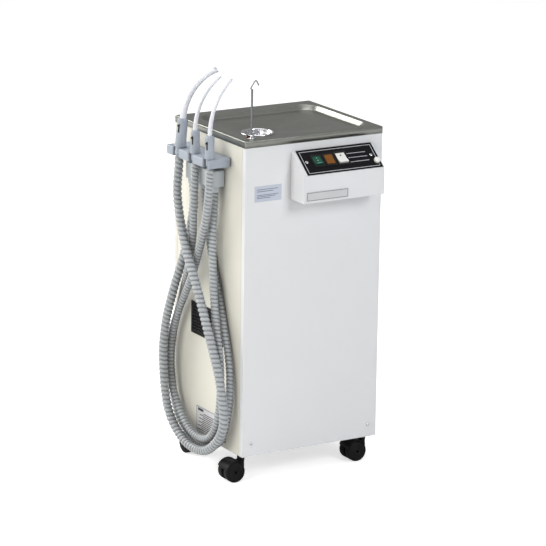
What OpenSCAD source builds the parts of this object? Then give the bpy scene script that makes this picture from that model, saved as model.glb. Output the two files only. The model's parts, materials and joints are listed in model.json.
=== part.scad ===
// Mobile suction pump: a cabinet on castors with a worktop, a control box,
// a holder for three hoses and handpieces, and the suction unit inside.

/* [Cabinet] */
// Width of the cabinet
cab_w = 370; // [364:1:380]
// Depth of the cabinet
cab_d = 330; // [326:1:336]
// Height of the cabinet panels
panel_h = 740; // [738:1:744]
// Thickness of the sheet metal
sheet = 1.5; // [1:0.25:1.75]
// Depth of the front panel's side returns
front_return = 14; // [12:1:16]
// Depth of the back panel's side returns
back_return = 13; // [12:1:16]
// Gap at the panel seams
seam = 0.6; // [0.4:0.1:1]

/* [Worktop] */
// Height of the worktop's rim
worktop_h = 16; // [16:1:20]
// How far the worktop stands out past the panels
overhang = 1; // [0:0.5:2]
// Depth of the recessed tray
tray_depth = 12; // [10:1:13]
// Radius of the tray's corners
tray_corner = 40; // [30:5:45]
// Outer radius of the drain's chrome ring
drain_ring_r = 40; // [39:1:42]
// Height of the hook rod above the worktop
rod_h = 114; // [90:1:140]

/* [Control box] */
// Height of the box at the panel
box_h = 112; // [110:1:116]
// How far the box stands out
box_depth = 59; // [56:1:62]
// Drop of the sloping face
box_drop = 47; // [44:1:50]

/* [Holder] */
// How far the rail stands out from the side panel
rail_depth = 62; // [60:1:64]
// Height of the rail
rail_h = 22; // [20:1:24]
// Lean of the large handpiece
lean = 5.5; // [0:0.5:6]
// Radius of the large hose
large_hose_r = 11; // [9:0.5:11]
// Radius of the small hoses
small_hose_r = 9.5; // [8:0.5:9.5]

/* [Castors] */
// Diameter of the castor wheels
wheel_d = 50; // [48:1:50]
// Height from the floor to the underside of the cabinet
castor_h = 64; // [64:1:70]
// Distance from the stem to the axle
trail = 25; // [24:0.5:27]

/* [Hidden] */
$fn = 48;

// Colours
panel_white = [0.87, 0.88, 0.89];
panel_cream = [0.84, 0.83, 0.77];
holder_grey = [0.62, 0.65, 0.69];
black_plastic = [0.08, 0.08, 0.09];
zinc = [0.70, 0.71, 0.72];
tip_white = [0.92, 0.93, 0.94];

// Clearances
gap = 0.1;
run_fit = 0.05;
cut = 1;

// Cabinet levels and faces, measured from the cabinet's centre line
half_w = cab_w / 2;
half_d = cab_d / 2;
z_base = castor_h;
z_panel = z_base + panel_h;
z_top = z_panel + worktop_h;
y_front = -half_d + front_return + seam;
y_back = half_d - back_return - seam;
inner_w = half_w - sheet - gap;

// Tray and drain
tray_x = [-150, 170];
tray_y = [-135, 132];
tray_run = 9;
z_tray = z_top - tray_depth;
drain = [-84, -46];
drain_hole_r = drain_ring_r - 6;
drain_cup_h = 30;
rod_at = [-half_w + 31, -half_d + 27];
rod_r = 2.5;
wire_r = 1.5;

// Control box
box_x = [-63.5, 155];
z_box_top = z_panel - 19;
z_box = z_box_top - box_h;
box_wall = 2;
slope = atan(box_drop / box_depth);
slope_len = sqrt(box_depth * box_depth + box_drop * box_drop);
fascia_x = -53;
fascia_w = 204;
fascia_t = 1.5;
fascia_len = slope_len - 2;
// Place of each switch on the fascia, from its top left corner: [x, y, width, height]
power_place = [43, 36, 22, 26];
lens_place = [74.5, 36, 21, 26];
mode_place = [108, 36, 25, 31];
button_at = [193.5, 56];
button_r = 7.5;
rocker_rest = 8;
name_w = 112;
name_h = 21;
name_t = 0.8;

// Holder rail, from front to back: a slot for each handpiece
rail_y = [-102, 97];
z_rail = z_panel - 56;
hand_x = -half_w - 49;
hand_y = [52, -18, -86];
neck_r = [11.8, 9, 9];
grip_r = [12.5, 10.5, 10.5];
foot_r = [8.8, 6.6, 6.6];
tip_r = [8, 5.5, 5.5];
hand_top = [90, 76, 76];
hand_foot = -19.5;
slot_clear = 0.4;
tip_bend_r = [124, 143, 172];
tip_bend = [69, 58, 48];
tip_sink = 14;
collar = 0.6;
valve_turn = 22;

// Manifold under the rail
manifold_x = -half_w - 36;
manifold_y = [-74, 50];
z_manifold = z_rail - 51;
manifold_h = 38;
port_y = [43, -8, -59];
port_x = -half_w - 18;
port_r = [large_hose_r, small_hose_r, small_hose_r];
pipe_x = -150;
z_pipe = z_manifold + 19;

// Hose centre lines, as points from the handpiece down, round and up to the manifold
z_hose_top = z_rail + hand_foot - 2;
z_hose_end = z_manifold - 15.4;
hose_front = -half_w - 62;
hose_paths = [
    [[hand_x - 4, 52, z_hose_top], [hand_x - 8, 50, 650], [hose_front, 5, 550],
     [hand_x - 10, -50, 455], [hand_x - 6, -102, 350], [-231, -142, 235], [-226, -144, 135],
     [-226, -70, 62], [-228, 28, 56], [-233, 102, 112], [-238, 122, 225], [-239, 112, 320],
     [-233, 85, 415], [-214, 60, 520], [port_x, port_y[0], 620],
     [port_x, port_y[0], z_hose_end]],
    [[hand_x, -18, z_hose_top], [hand_x - 1, -15, 650], [-226, 5, 560], [-216, 45, 470],
     [-203, 100, 385], [-200, 142, 290], [-200, 150, 205], [-201, 116, 102], [-202, 20, 56],
     [-202, -84, 80], [-199, -122, 165], [-196, -122, 270], [-195.5, -86, 385],
     [-195.5, -46, 490], [-198, -14, 600], [port_x, port_y[1], z_hose_end]],
    [[hand_x, -86, z_hose_top], [hand_x, -74, 640], [-227, -33, 550], [-217, 28, 455],
     [-216, 90, 360], [-216, 128, 270], [-213.5, 124, 172], [-212, 40, 84], [-212, -52, 84],
     [-214, -104, 160], [-216, -113, 280], [-217, -90, 385], [-217, -76, 490],
     [-210, -63, 600], [port_x, port_y[2], z_hose_end]]];
hose_steps = 3;
hose_sides = 10;

// Castors
stem_at = [half_w - 17, half_d - 35];
// The rear left castor rests with its wheels towards the front
rear_left_turn = 90;
axle_z = wheel_d / 2;
wheel_w = 17;
web_t = 9;
axle_r = 4;
stem_r = 5.5;
hood_r = axle_z + 2.3;
socket_top = z_base + 14;

// Suction unit
z_shelf = z_base + 414;
tank_at = [-40, 0];
tank_r = 78;
tank_h = 208;
tank_wall = 3;
z_lid = z_shelf + 2 + tank_h;
main_pipe_r = 14;
drop_x = 134;
blower_at = [20, 10];
blower_r = 88;
blower_h = 80;
z_blower = z_base + 26;
motor_r = 46;
motor_h = 92;
pump_at = [125, -105];

// Back connections
exhaust_at = [70, z_base + 240];
riser_y = 98.5;
outlet_at = [-20, z_base + 46];
inlet_at = [-110, z_base + 60];
exhaust_r = 20;
outlet_r = 10;
spigot_out = 30;

// The frame's origin is on the floor, below the middle of the whole unit's outline.
left_reach = -hose_front + large_hose_r;
right_reach = half_w + overhang;
front_reach = half_d + box_depth + name_t;
back_reach = half_d + spigot_out;
shift = [(left_reach - right_reach) / 2, (front_reach - back_reach) / 2, 0];

// Moves a child from the cabinet's centre line to the frame's origin
module placed() { translate(shift) children(); }

// A box given by its low and high corners
module block(low, high) { translate(low) cube(high - low); }

// A cylinder between two points on a line parallel to X, Y or Z
module rod_x(x0, x1, y, z, r) { translate([x0, y, z]) rotate([0, 90, 0]) cylinder(h = x1 - x0, r = r); }
module rod_y(y0, y1, x, z, r) { translate([x, y0, z]) rotate([-90, 0, 0]) cylinder(h = y1 - y0, r = r); }
module rod_z(z0, z1, x, y, r) { translate([x, y, z0]) cylinder(h = z1 - z0, r = r); }

// A block with its four upright edges rounded
module round_block(low, high, r) {
    block(low + [r, 0, 0], high - [r, 0, 0]);
    block(low + [0, r, 0], high - [0, r, 0]);
    for (x = [low[0] + r, high[0] - r], y = [low[1] + r, high[1] - r])
        rod_z(low[2], high[2], x, y, r);
}

// Places a child on the sloping fascia: x to the right, y down the slope, z outwards
module on_fascia(x, y) {
    translate([fascia_x, -half_d, z_box_top])
        rotate([180 + slope, 0, 0])
            mirror([0, 0, 1])
                translate([x, y + 1, 0])
                    children();
}

// ---- Cabinet ----

module base_tray() {
    color(zinc) placed() difference() {
        union() {
            block([-inner_w, y_front, z_base], [inner_w, y_back, z_base + 2]);
            for (s = [-1, 1])
                block([s > 0 ? inner_w - 2 : -inner_w, y_front, z_base],
                    [s > 0 ? inner_w : -inner_w + 2, y_back, z_base + 24]);
        }
        for (x = [-1, 1], y = [-1, 1])
            rod_z(z_base - cut, z_base + 4, x * stem_at[0], y * stem_at[1], 8 + run_fit);
    }
}

module corner_posts() {
    outer_x = inner_w - 2 - gap;
    color(zinc) placed() for (sx = [0, 1], sy = [0, 1]) mirror([sx, 0, 0]) {
        y = sy == 0 ? y_front + gap : y_back - 20 - gap;
        y_leg = sy == 0 ? y : y + 18;
        block([outer_x - 2, y, z_base + 2 + gap], [outer_x, y + 20, z_panel - 1]);
        block([outer_x - 20, y_leg, z_base + 2 + gap], [outer_x, y_leg + 2, z_panel - 1]);
    }
}

module shelf() {
    edge = inner_w - 5;
    color(zinc) placed() difference() {
        block([-edge, y_front + 1, z_shelf], [edge, y_back - 1, z_shelf + 2]);
        for (x = [-edge - cut, edge - 20], y = [y_front, y_back - 24])
            block([x, y, z_shelf - cut], [x + 20 + cut, y + 24, z_shelf + 3]);
        rod_z(z_shelf - cut, z_shelf + 3, drop_x, 0, main_pipe_r + 4);
        rod_z(z_shelf - cut, z_shelf + 3, pump_at[0], drain[1], main_pipe_r + 2);
    }
}

module left_side_panel() {
    color(panel_cream) placed() difference() {
        block([-half_w, y_front, z_base], [-half_w + sheet, y_back, z_panel]);
        block([-half_w - cut, -68, z_base + 249], [-half_w + 3, 76, z_base + 321]);
        for (y = port_y)
            rod_x(-half_w - cut, -half_w + 3, y, z_pipe, 8);
    }
}

module right_side_panel() {
    color(panel_cream) placed()
        block([half_w - sheet, y_front, z_base], [half_w, y_back, z_panel]);
}

// A shallow panel folded back along all four edges
module folded_panel(depth) {
    difference() {
        block([-half_w, 0, z_base], [half_w, depth, z_panel]);
        block([-half_w + sheet, sheet, z_base + sheet], [half_w - sheet, depth + cut, z_panel - sheet]);
    }
}

module front_panel() {
    color(panel_white) placed() difference() {
        translate([0, -half_d, 0]) folded_panel(front_return);
        for (x = [-1, 1])
            rod_y(-half_d - cut, -half_d + 3, x * (half_w - 23.5), z_base + 30, 2.3);
        rod_y(-half_d - cut, -half_d + 3, 40, z_box + 45, 12);
    }
}

module back_panel() {
    color(panel_cream) placed() difference() {
        translate([0, half_d, 0]) mirror([0, 1, 0]) folded_panel(back_return);
        for (x = [-1, 1], z = [z_base + 30, z_panel - 30])
            rod_y(half_d - 3, half_d + cut, x * (half_w - 23.5), z, 2.3);
        rod_y(half_d - 3, half_d + cut, exhaust_at[0], exhaust_at[1], exhaust_r + 0.3);
        rod_y(half_d - 3, half_d + cut, outlet_at[0], outlet_at[1], outlet_r + 0.3);
        block([inlet_at[0] - 24, half_d - 3, inlet_at[1] - 14], [inlet_at[0] + 24, half_d + cut, inlet_at[1] + 14]);
        for (i = [0:7])
            block([-60, half_d - 3, z_base + 420 + i * 14], [60, half_d + cut, z_base + 425 + i * 14]);
    }
}

// The tray's tapering hollow, grown outwards by a margin
module tray_form(grow, z_low, z_high) {
    hull() for (end = [0, 1]) {
        inset = end == 0 ? tray_run : 0;
        r = tray_corner - inset + grow;
        z = end == 0 ? z_low : z_high - 0.01;
        for (x = [tray_x[0] + tray_corner, tray_x[1] - tray_corner],
             y = [tray_y[0] + tray_corner, tray_y[1] - tray_corner])
            translate([x, y, z]) cylinder(h = 0.01, r = r, $fn = 32);
    }
}

module worktop() {
    rim = [half_w + overhang, half_d + overhang, 0];
    color(zinc) placed() difference() {
        union() {
            difference() {
                block(-rim + [0, 0, z_panel + gap], rim + [0, 0, z_top]);
                block(-rim + [sheet, sheet, z_panel - cut], rim - [sheet, sheet, sheet - z_top]);
            }
            tray_form(sheet, z_tray - sheet, z_top - sheet);
        }
        tray_form(0, z_tray, z_top + gap);
        rod_z(z_tray - 3, z_top, drain[0], drain[1], drain_hole_r + 0.2);
    }
}

// A pan-head screw with its head outwards along -Y and a cross slot
module screw_head(head_r, shank) {
    rotate([90, 0, 0]) difference() {
        union() {
            cylinder(h = 1.6, r = head_r);
            translate([0, 0, 1.6]) cylinder(h = 0.7, r1 = head_r, r2 = head_r - 1);
            translate([0, 0, -shank]) cylinder(h = shank + 0.1, r = 2);
        }
        for (a = [0, 90]) rotate([0, 0, a]) translate([-head_r * 0.6, -0.4, 1.3]) cube([head_r * 1.2, 0.8, 2]);
    }
}

module case_screws() {
    color(zinc) placed() {
        for (x = [-1, 1]) {
            translate([x * (half_w - 23.5), -half_d - run_fit, z_base + 30]) screw_head(3.2, 5);
            for (z = [z_base + 30, z_panel - 30])
                translate([x * (half_w - 23.5), half_d + run_fit, z]) rotate([0, 0, 180]) screw_head(3.2, 5);
        }
        for (x = [13, 187])
            on_fascia(x, 37) translate([0, 0, fascia_t + 0.2]) rotate([90, 0, 0]) rotate([180, 0, 0])
                screw_head(4, 0);
    }
}

module vent_grille() {
    color(black_plastic) placed() {
        difference() {
            block([-half_w - 1.5, -71, z_base + 246], [-half_w - run_fit, 79, z_base + 324]);
            block([-half_w - 3, -66, z_base + 251], [-half_w + 1, 74, z_base + 319]);
        }
        for (i = [0:8])
            block([-half_w - 1.2, -66.5, z_base + 252 + i * 7.5], [-half_w + 1, 74.5, z_base + 257 + i * 7.5]);
        for (y = [-66.5, 73])
            block([-half_w - 1.2, y, z_base + 251], [-half_w + 1, y + 1.5, z_base + 319]);
    }
}

module labels() {
    color([0.72, 0.76, 0.80]) placed() {
        block([-half_w + 25, -half_d - 0.35, z_base + 611], [-half_w + 97, -half_d - run_fit, z_base + 648]);
        block([-half_w - 0.45, -46, z_base + 8], [-half_w - run_fit, 52, z_base + 72]);
    }
}

// ---- Worktop fittings ----

module drain_flange() {
    z_ring = z_tray + run_fit;
    color([0.8, 0.8, 0.82]) placed() translate([drain[0], drain[1], 0]) difference() {
        union() {
            rod_z(z_ring, z_ring + 1.5, 0, 0, drain_ring_r);
            translate([0, 0, z_ring + 1.5]) cylinder(h = 1, r1 = drain_ring_r, r2 = drain_ring_r - 1.5);
            rod_z(z_ring - drain_cup_h, z_ring + 1, 0, 0, drain_hole_r);
            rod_z(z_ring - drain_cup_h - 8, z_ring - drain_cup_h + 1, 0, 0, main_pipe_r);
        }
        rod_z(z_ring - 6, z_ring + 4, 0, 0, drain_hole_r - 2);
        rod_z(z_ring - drain_cup_h + 2, z_ring - 5, 0, 0, drain_hole_r - 5);
        rod_z(z_ring - drain_cup_h - 9, z_ring - drain_cup_h + 3, 0, 0, main_pipe_r - 2);
    }
}

module strainer() {
    z_seat = z_tray + run_fit - 6 + run_fit;
    r = drain_hole_r - 2.3;
    color([0.82, 0.82, 0.84]) placed() translate([drain[0], drain[1], z_seat]) difference() {
        union() {
            cylinder(h = 1.5, r = r);
            difference() {
                cylinder(h = 6.5, r = r);
                translate([0, 0, -cut]) cylinder(h = 9, r = r - 2);
            }
            cylinder(h = 5, r = 5);
        }
        for (a = [0:45:315]) rotate([0, 0, a]) translate([18, 0, -cut]) cylinder(h = 4, r = 4.5);
    }
}

// The waste pipe from the drain, along under the worktop and down to the pump
module drain_pipe() {
    r = 12;
    bend = 25;
    z_run = z_tray - drain_cup_h - 8 - 6 - bend;
    x_drop = pump_at[0];
    color([0.9, 0.9, 0.9]) placed() translate([0, drain[1], 0]) {
        rod_z(z_run + bend, z_run + bend + 5.5, drain[0], 0, r);
        translate([drain[0] + bend, 0, z_run + bend]) rotate([90, 180, 0])
            rotate_extrude(angle = 90) translate([bend, 0]) circle(r);
        rod_x(drain[0] + bend, x_drop - bend, 0, z_run, r);
        translate([x_drop - bend, 0, z_run - bend]) rotate([90, 0, 0])
            rotate_extrude(angle = 90) translate([bend, 0]) circle(r);
        rod_z(z_base + 96, z_run - bend, x_drop, 0, r);
    }
}

module rod_base() {
    color([0.78, 0.78, 0.8]) placed() translate([rod_at[0], rod_at[1], z_top + run_fit]) difference() {
        union() {
            cylinder(h = 2, r = 10);
            translate([0, 0, 1]) cylinder(h = 6, r = 6.5);
            translate([0, 0, 7]) cylinder(h = 1.2, r1 = 6.5, r2 = 5.2);
        }
        translate([0, 0, 1]) cylinder(h = 9, r = rod_r + run_fit);
    }
}

// A straight piece of wire between two points in the XZ plane, with round ends
module wire(a, b) {
    d = b - a;
    translate([a[0], 0, a[1]]) {
        rotate([0, atan2(d[0], d[1]), 0]) cylinder(h = norm(d), r = wire_r);
        sphere(wire_r + 0.08);
    }
}

module hook_rod() {
    shape = [[0, 0], [-3.6, 4], [-0.5, 9], [6, 18.5], [9.5, 20.8], [12.5, 18.5], [17.4, 9]];
    color([0.35, 0.35, 0.34]) placed() translate([rod_at[0], rod_at[1], 0]) {
        rod_z(z_top + 1.2, z_top + rod_h, 0, 0, rod_r);
        translate([0, 0, z_top + rod_h - 1]) for (i = [0:len(shape) - 2]) wire(shape[i], shape[i + 1]);
    }
}

// ---- Control box ----

// The box's side outline, drawn in from its outside by a margin
module box_outline(m) {
    lift = m / cos(slope);
    polygon([[-half_d + (m > 0 ? cut : -gap), z_box + m], [-half_d - box_depth + m, z_box + m],
        [-half_d - box_depth + m, z_box_top - box_drop - lift + m * tan(slope)],
        [-half_d + (m > 0 ? cut : -gap), z_box_top - lift + (m > 0 ? cut * tan(slope) : -gap * tan(slope))]]);
}

// Extrudes an outline drawn in the YZ plane along X
module along_x(x0, x1) {
    translate([x0, 0, 0]) rotate([90, 0, 90]) linear_extrude(x1 - x0) children();
}

module control_box() {
    color(panel_white) placed() difference() {
        along_x(box_x[0], box_x[1]) box_outline(0);
        along_x(box_x[0] + box_wall, box_x[1] - box_wall) box_outline(box_wall);
        on_fascia(20, 12) translate([0, 0, -8]) cube([110, 50, 12]);
        on_fascia(button_at[0], button_at[1]) translate([0, 0, -8]) cylinder(h = 12, r = button_r + 1);
    }
}

module fascia_plate() {
    color(black_plastic) placed() difference() {
        on_fascia(0, 0) translate([0, 0, run_fit]) cube([fascia_w, fascia_len, fascia_t]);
        for (p = [power_place, lens_place, mode_place])
            on_fascia(p[0] - p[2] / 2 - 2, p[1] - p[3] / 2 - 2) translate([0, 0, -cut])
                cube([p[2] + 4, p[3] + 4, 4]);
        on_fascia(button_at[0], button_at[1]) translate([0, 0, -cut]) cylinder(h = 4, r = button_r + 1);
    }
}

module name_plate() {
    y = -half_d - box_depth;
    color([0.75, 0.76, 0.78]) placed()
        block([-name_w / 2, y - name_t, z_box + 5], [name_w / 2, y - run_fit, z_box + 5 + name_h]);
}

// A square frame that holds one switch, with a body below the fascia
module bezel(p) {
    lip = 4;
    on_fascia(p[0], p[1]) difference() {
        union() {
            translate([-p[2] / 2 - lip, -p[3] / 2 - lip - 1, fascia_t + 0.1])
                cube([p[2] + 2 * lip, p[3] + 2 * lip + 2, 1.8]);
            translate([-p[2] / 2 - 1.8, -p[3] / 2 - 1.8, -14]) cube([p[2] + 3.6, p[3] + 3.6, 14 + fascia_t + 1]);
        }
        translate([-p[2] / 2, -p[3] / 2, -12.5]) cube([p[2], p[3], 20]);
    }
}

module switch_bezels() {
    color(black_plastic) placed() {
        bezel(power_place);
        bezel(lens_place);
        bezel(mode_place);
        on_fascia(button_at[0], button_at[1]) difference() {
            union() {
                translate([0, 0, fascia_t + 0.1]) cylinder(h = 2, r = button_r + 2);
                translate([0, 0, -12]) cylinder(h = 14, r = button_r + 0.9);
            }
            translate([0, 0, -10]) cylinder(h = 20, r = button_r + run_fit);
        }
    }
}

// A rocker resting with one end pressed; its pivot's axis is 3 mm below the fascia
module rocker(p) {
    side = p[2] - 0.8;
    len = p[3] - 2.2;
    on_fascia(p[0], p[1]) translate([0, 0, -3]) rotate([rocker_rest, 0, 0]) {
        translate([-side / 2, 0, 0]) rotate([90, 0, 90]) linear_extrude(side)
            polygon([[-len / 2, -1], [len / 2, -1], [len / 2, 7.4], [0, 5.8], [-len / 2, 7.4]]);
        rod_x(-side / 2 + 1, side / 2 - 1, 0, 0, 2.4);
    }
}

module power_rocker() { color([0.05, 0.45, 0.33]) placed() rocker(power_place); }

module mode_rocker() { color([0.93, 0.93, 0.92]) placed() rocker(mode_place); }

module indicator_lens() {
    p = lens_place;
    color([0.80, 0.42, 0.05]) placed() on_fascia(p[0], p[1])
        translate([-p[2] / 2 + gap, -p[3] / 2 + gap, -10]) cube([p[2] - 2 * gap, p[3] - 2 * gap, 14.6]);
}

module reset_button() {
    color([0.92, 0.93, 0.95]) placed() on_fascia(button_at[0], button_at[1]) {
        translate([0, 0, -5]) cylinder(h = 13, r = button_r);
        translate([0, 0, 8]) cylinder(h = 1.2, r1 = button_r, r2 = button_r - 1.5);
    }
}

// ---- Holder, handpieces and hoses ----

module holder_rail() {
    x_out = -half_w - rail_depth;
    color(holder_grey) placed() difference() {
        round_block([x_out, rail_y[0], z_rail], [-half_w - gap, rail_y[1], z_rail + rail_h], 5);
        for (i = [0:2]) {
            r = neck_r[i] + slot_clear + (i == 0 ? 0.6 : 0);
            rod_z(z_rail - cut, z_rail + rail_h + cut, hand_x, hand_y[i], r);
            block([x_out - cut, hand_y[i] - r, z_rail - cut], [hand_x, hand_y[i] + r, z_rail + rail_h + cut]);
        }
    }
}

module manifold_box() {
    low = [manifold_x, manifold_y[0], z_manifold];
    high = [-half_w - gap, manifold_y[1], z_manifold + manifold_h];
    wall = [3, 3, 3];
    color([0.58, 0.61, 0.63]) placed() difference() {
        round_block(low, high, 4);
        block(low + wall, high - wall);
        for (y = port_y) {
            rod_z(z_manifold - cut, z_manifold + 4, port_x, y, 6);
            rod_x(-half_w - 4, -half_w + cut, y, z_pipe, 7 + run_fit);
        }
    }
}

module manifold_sockets() {
    color(holder_grey) placed() for (i = [0:2]) difference() {
        rod_z(z_manifold - 14, z_manifold - run_fit, port_x, port_y[i], port_r[i] + 1.8);
        rod_z(z_manifold - 15, z_manifold - 4, port_x, port_y[i], port_r[i] + 0.2);
        rod_z(z_manifold - 5, z_manifold + cut, port_x, port_y[i], 6);
    }
}

// Moves a child to a handpiece's seat on top of the rail, with its lean
module at_hand(i) {
    translate([hand_x, hand_y[i], z_rail + rail_h]) rotate([0, i == 0 ? lean : 0, 0]) children();
}

// A handpiece's outline: neck through the slot, shoulder on the rail, grip and domed top
module grip_outline(i) {
    top = hand_top[i] - rail_h;
    mouth_r = tip_r[i] + 1.6;
    dome_w = grip_r[i] - mouth_r;
    dome_h = grip_r[i] * 0.5;
    polygon([[0, hand_foot - rail_h], [foot_r[i], hand_foot - rail_h], [foot_r[i], -rail_h + 4],
        [neck_r[i] - 0.4, -rail_h + 6], [neck_r[i] - 0.4, -2], [neck_r[i] - 0.4, 0.3 + (i == 0 ? 1.4 : 0)],
        [grip_r[i] + 1.5, 0.3 + (i == 0 ? 1.4 : 0)], [grip_r[i] + 1.2, 6], [grip_r[i], 22],
        for (a = [0:15:90]) [mouth_r + dome_w * cos(a), top - dome_h + dome_h * sin(a)], [0, top]]);
}

module handpiece(i) {
    top = hand_top[i] - rail_h;
    color(holder_grey) placed() at_hand(i) difference() {
        rotate_extrude() grip_outline(i);
        translate([0, 0, top - tip_sink]) cylinder(h = tip_sink + cut, r = tip_r[i] + collar + run_fit);
        translate([0, 0, hand_foot - rail_h - cut]) cylinder(h = 150, r = tip_r[i] - 2);
        rotate(valve_turn) block([-grip_r[i] - 3, -2.2, top - 33], [-grip_r[i] + 2, 2.2, top - 13]);
    }
}

module valve_slider(i) {
    top = hand_top[i] - rail_h;
    color(black_plastic) placed() at_hand(i) rotate(valve_turn) {
        block([-grip_r[i] - 0.4, -2, top - 19.8], [-grip_r[i] + 1.9, 2, top - 13.4]);
        block([-grip_r[i] - 4.5, -1.6, top - 18.4], [-grip_r[i] - 0.3, 1.6, top - 14.8]);
    }
}

// A bent tube: a short straight collar in the handpiece and one bend towards +X
module suction_tip(i) {
    top = hand_top[i] - rail_h;
    bend_r = tip_bend_r[i];
    color(tip_white) placed() at_hand(i) difference() {
        union() {
            rod_z(top - tip_sink + gap, top + 3, 0, 0, tip_r[i] + collar);
            translate([bend_r, 0, top]) rotate([90, tip_bend[i] - 180, 0])
                rotate_extrude(angle = tip_bend[i]) translate([bend_r, 0]) circle(tip_r[i]);
        }
        rod_z(top - tip_sink - cut, top + 1, 0, 0, tip_r[i] - 2);
        translate([bend_r, 0, top]) rotate([90, tip_bend[i] - 179.5, 0])
            rotate_extrude(angle = tip_bend[i] + 0.5) translate([bend_r, 0]) circle(tip_r[i] - 1.2);
    }
}

module handpiece_1() { handpiece(0); }
module handpiece_2() { handpiece(1); }
module handpiece_3() { handpiece(2); }
module valve_slider_1() { valve_slider(0); }
module valve_slider_2() { valve_slider(1); }
module valve_slider_3() { valve_slider(2); }
module suction_tip_1() { suction_tip(0); }
module suction_tip_2() { suction_tip(1); }
module suction_tip_3() { suction_tip(2); }

// A smooth curve through four points, at t from the second to the third
function smooth(a, b, c, d, t) =
    0.5 * (2 * b + (c - a) * t + (2 * a - 5 * b + 4 * c - d) * t * t + (3 * b - a - 3 * c + d) * t * t * t);

function curve(p) = [for (i = [0:len(p) - 2], k = [0:hose_steps - 1])
    smooth(i == 0 ? 2 * p[0] - p[1] : p[i - 1], p[i], p[i + 1],
        i == len(p) - 2 ? 2 * p[i + 1] - p[i] : p[i + 2], k / hose_steps), p[len(p) - 1]];

// A ring of points round the curve at one of its points, square to its run
function ring(line, i, r) =
    let (run = line[min(i + 1, len(line) - 1)] - line[max(i - 1, 0)], t = run / norm(run),
        side = cross(t, [1, 0, 0]), u = side / norm(side), v = cross(u, t))
    [for (k = [0:hose_sides - 1]) let (a = 360 * k / hose_sides) line[i] + r * (cos(a) * v + sin(a) * u)];

module hose(path, r) {
    line = curve(path);
    n = hose_sides;
    last = len(line) - 1;
    points = [for (i = [0:last]) each ring(line, i, r)];
    sides = [for (i = [0:last - 1], k = [0:n - 1]) [i * n + k, i * n + (k + 1) % n,
        (i + 1) * n + (k + 1) % n, (i + 1) * n + k]];
    color([0.66, 0.68, 0.72]) placed() polyhedron(points,
        concat([[for (k = [n - 1:-1:0]) k]], sides, [[for (k = [0:n - 1]) last * n + k]]), convexity = 10);
}

module hose_1() { hose(hose_paths[0], large_hose_r); }
module hose_2() { hose(hose_paths[1], small_hose_r); }
module hose_3() { hose(hose_paths[2], small_hose_r); }

// ---- Castors ----

// Moves a child from the stem's line to one corner of the cabinet
module at_corner(sx, sy) { placed() translate([sx * stem_at[0], sy * stem_at[1], 0]) children(); }

module castor_fork() {
    z_neck = wheel_d - 3;
    half_wheels = web_t / 2 + 0.5 + wheel_w;
    color(black_plastic) difference() {
        union() {
            rod_z(z_neck, z_base - 2.2, 0, 0, 9);
            rod_z(z_neck, socket_top, 0, 0, stem_r);
            intersection() {
                rod_y(-half_wheels, half_wheels, -trail, axle_z, hood_r);
                block([-trail - 24, -50, axle_z + 8], [-trail + 22, 50, wheel_d + 5]);
            }
            rod_y(-web_t / 2, web_t / 2, -trail, axle_z, 12);
            block([-trail - 6, -web_t / 2, axle_z], [7, web_t / 2, z_neck + 3]);
        }
        for (s = [0, 1]) mirror([0, s, 0])
            rod_y(web_t / 2, 60, -trail, axle_z, axle_z + 0.9);
        rod_y(-web_t, web_t, -trail, axle_z, axle_r + run_fit);
    }
}

module castor_wheels() {
    color([0.06, 0.06, 0.07]) {
        rod_y(-web_t / 2 - 3, web_t / 2 + 3, -trail, axle_z, axle_r);
        for (s = [0, 1]) mirror([0, s, 0]) translate([-trail, web_t / 2 + 0.5, axle_z]) rotate([-90, 0, 0]) {
            cylinder(h = 1.5, r1 = axle_z - 1.5, r2 = axle_z);
            translate([0, 0, 1.5]) cylinder(h = wheel_w - 4, r = axle_z);
            translate([0, 0, wheel_w - 2.5]) cylinder(h = 2.5, r1 = axle_z, r2 = axle_z - 2.5);
        }
    }
}

module castor_fork_front_left() { at_corner(-1, -1) castor_fork(); }
module castor_fork_front_right() { at_corner(1, -1) castor_fork(); }
module castor_fork_rear_left() { at_corner(-1, 1) rotate(rear_left_turn) castor_fork(); }
module castor_fork_rear_right() { at_corner(1, 1) castor_fork(); }
module castor_wheels_front_left() { at_corner(-1, -1) castor_wheels(); }
module castor_wheels_front_right() { at_corner(1, -1) castor_wheels(); }
module castor_wheels_rear_left() { at_corner(-1, 1) rotate(rear_left_turn) castor_wheels(); }
module castor_wheels_rear_right() { at_corner(1, 1) castor_wheels(); }

module castor_sockets() {
    color(zinc) for (sx = [-1, 1], sy = [-1, 1]) at_corner(sx, sy) difference() {
        union() {
            rod_z(z_base - 2, z_base - run_fit, 0, 0, 12);
            rod_z(z_base - 1, socket_top, 0, 0, 8);
        }
        rod_z(z_base - 3, socket_top + cut, 0, 0, stem_r + run_fit);
    }
}

// ---- Suction unit ----

module separator_tank() {
    z = z_shelf + 2 + run_fit;
    color([0.86, 0.89, 0.90]) placed() translate([tank_at[0], tank_at[1], z]) difference() {
        cylinder(h = tank_h - gap, r = tank_r);
        translate([0, 0, tank_wall]) cylinder(h = tank_h, r = tank_r - tank_wall);
    }
}

module tank_lid() {
    x_out = 35;
    color([0.45, 0.47, 0.50]) placed() translate([tank_at[0], tank_at[1], z_lid]) difference() {
        union() {
            rod_z(run_fit, 9, 0, 0, tank_r + 2);
            rod_z(-6, 1, 0, 0, tank_r - tank_wall - 0.3);
            rod_z(-tank_h + 12, 0, 0, 40, 3);
        }
        for (x = [-x_out, x_out]) rod_z(-8, 12, x, 0, main_pipe_r + run_fit);
    }
}

// Rides up the lid's guide rod as the tank fills
module tank_float() {
    color([0.85, 0.30, 0.15]) placed() translate([tank_at[0], tank_at[1] + 40, z_shelf + 22]) difference() {
        cylinder(h = 34, r = 22);
        translate([0, 0, -cut]) cylinder(h = 36, r = 3 + run_fit);
    }
}

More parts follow.
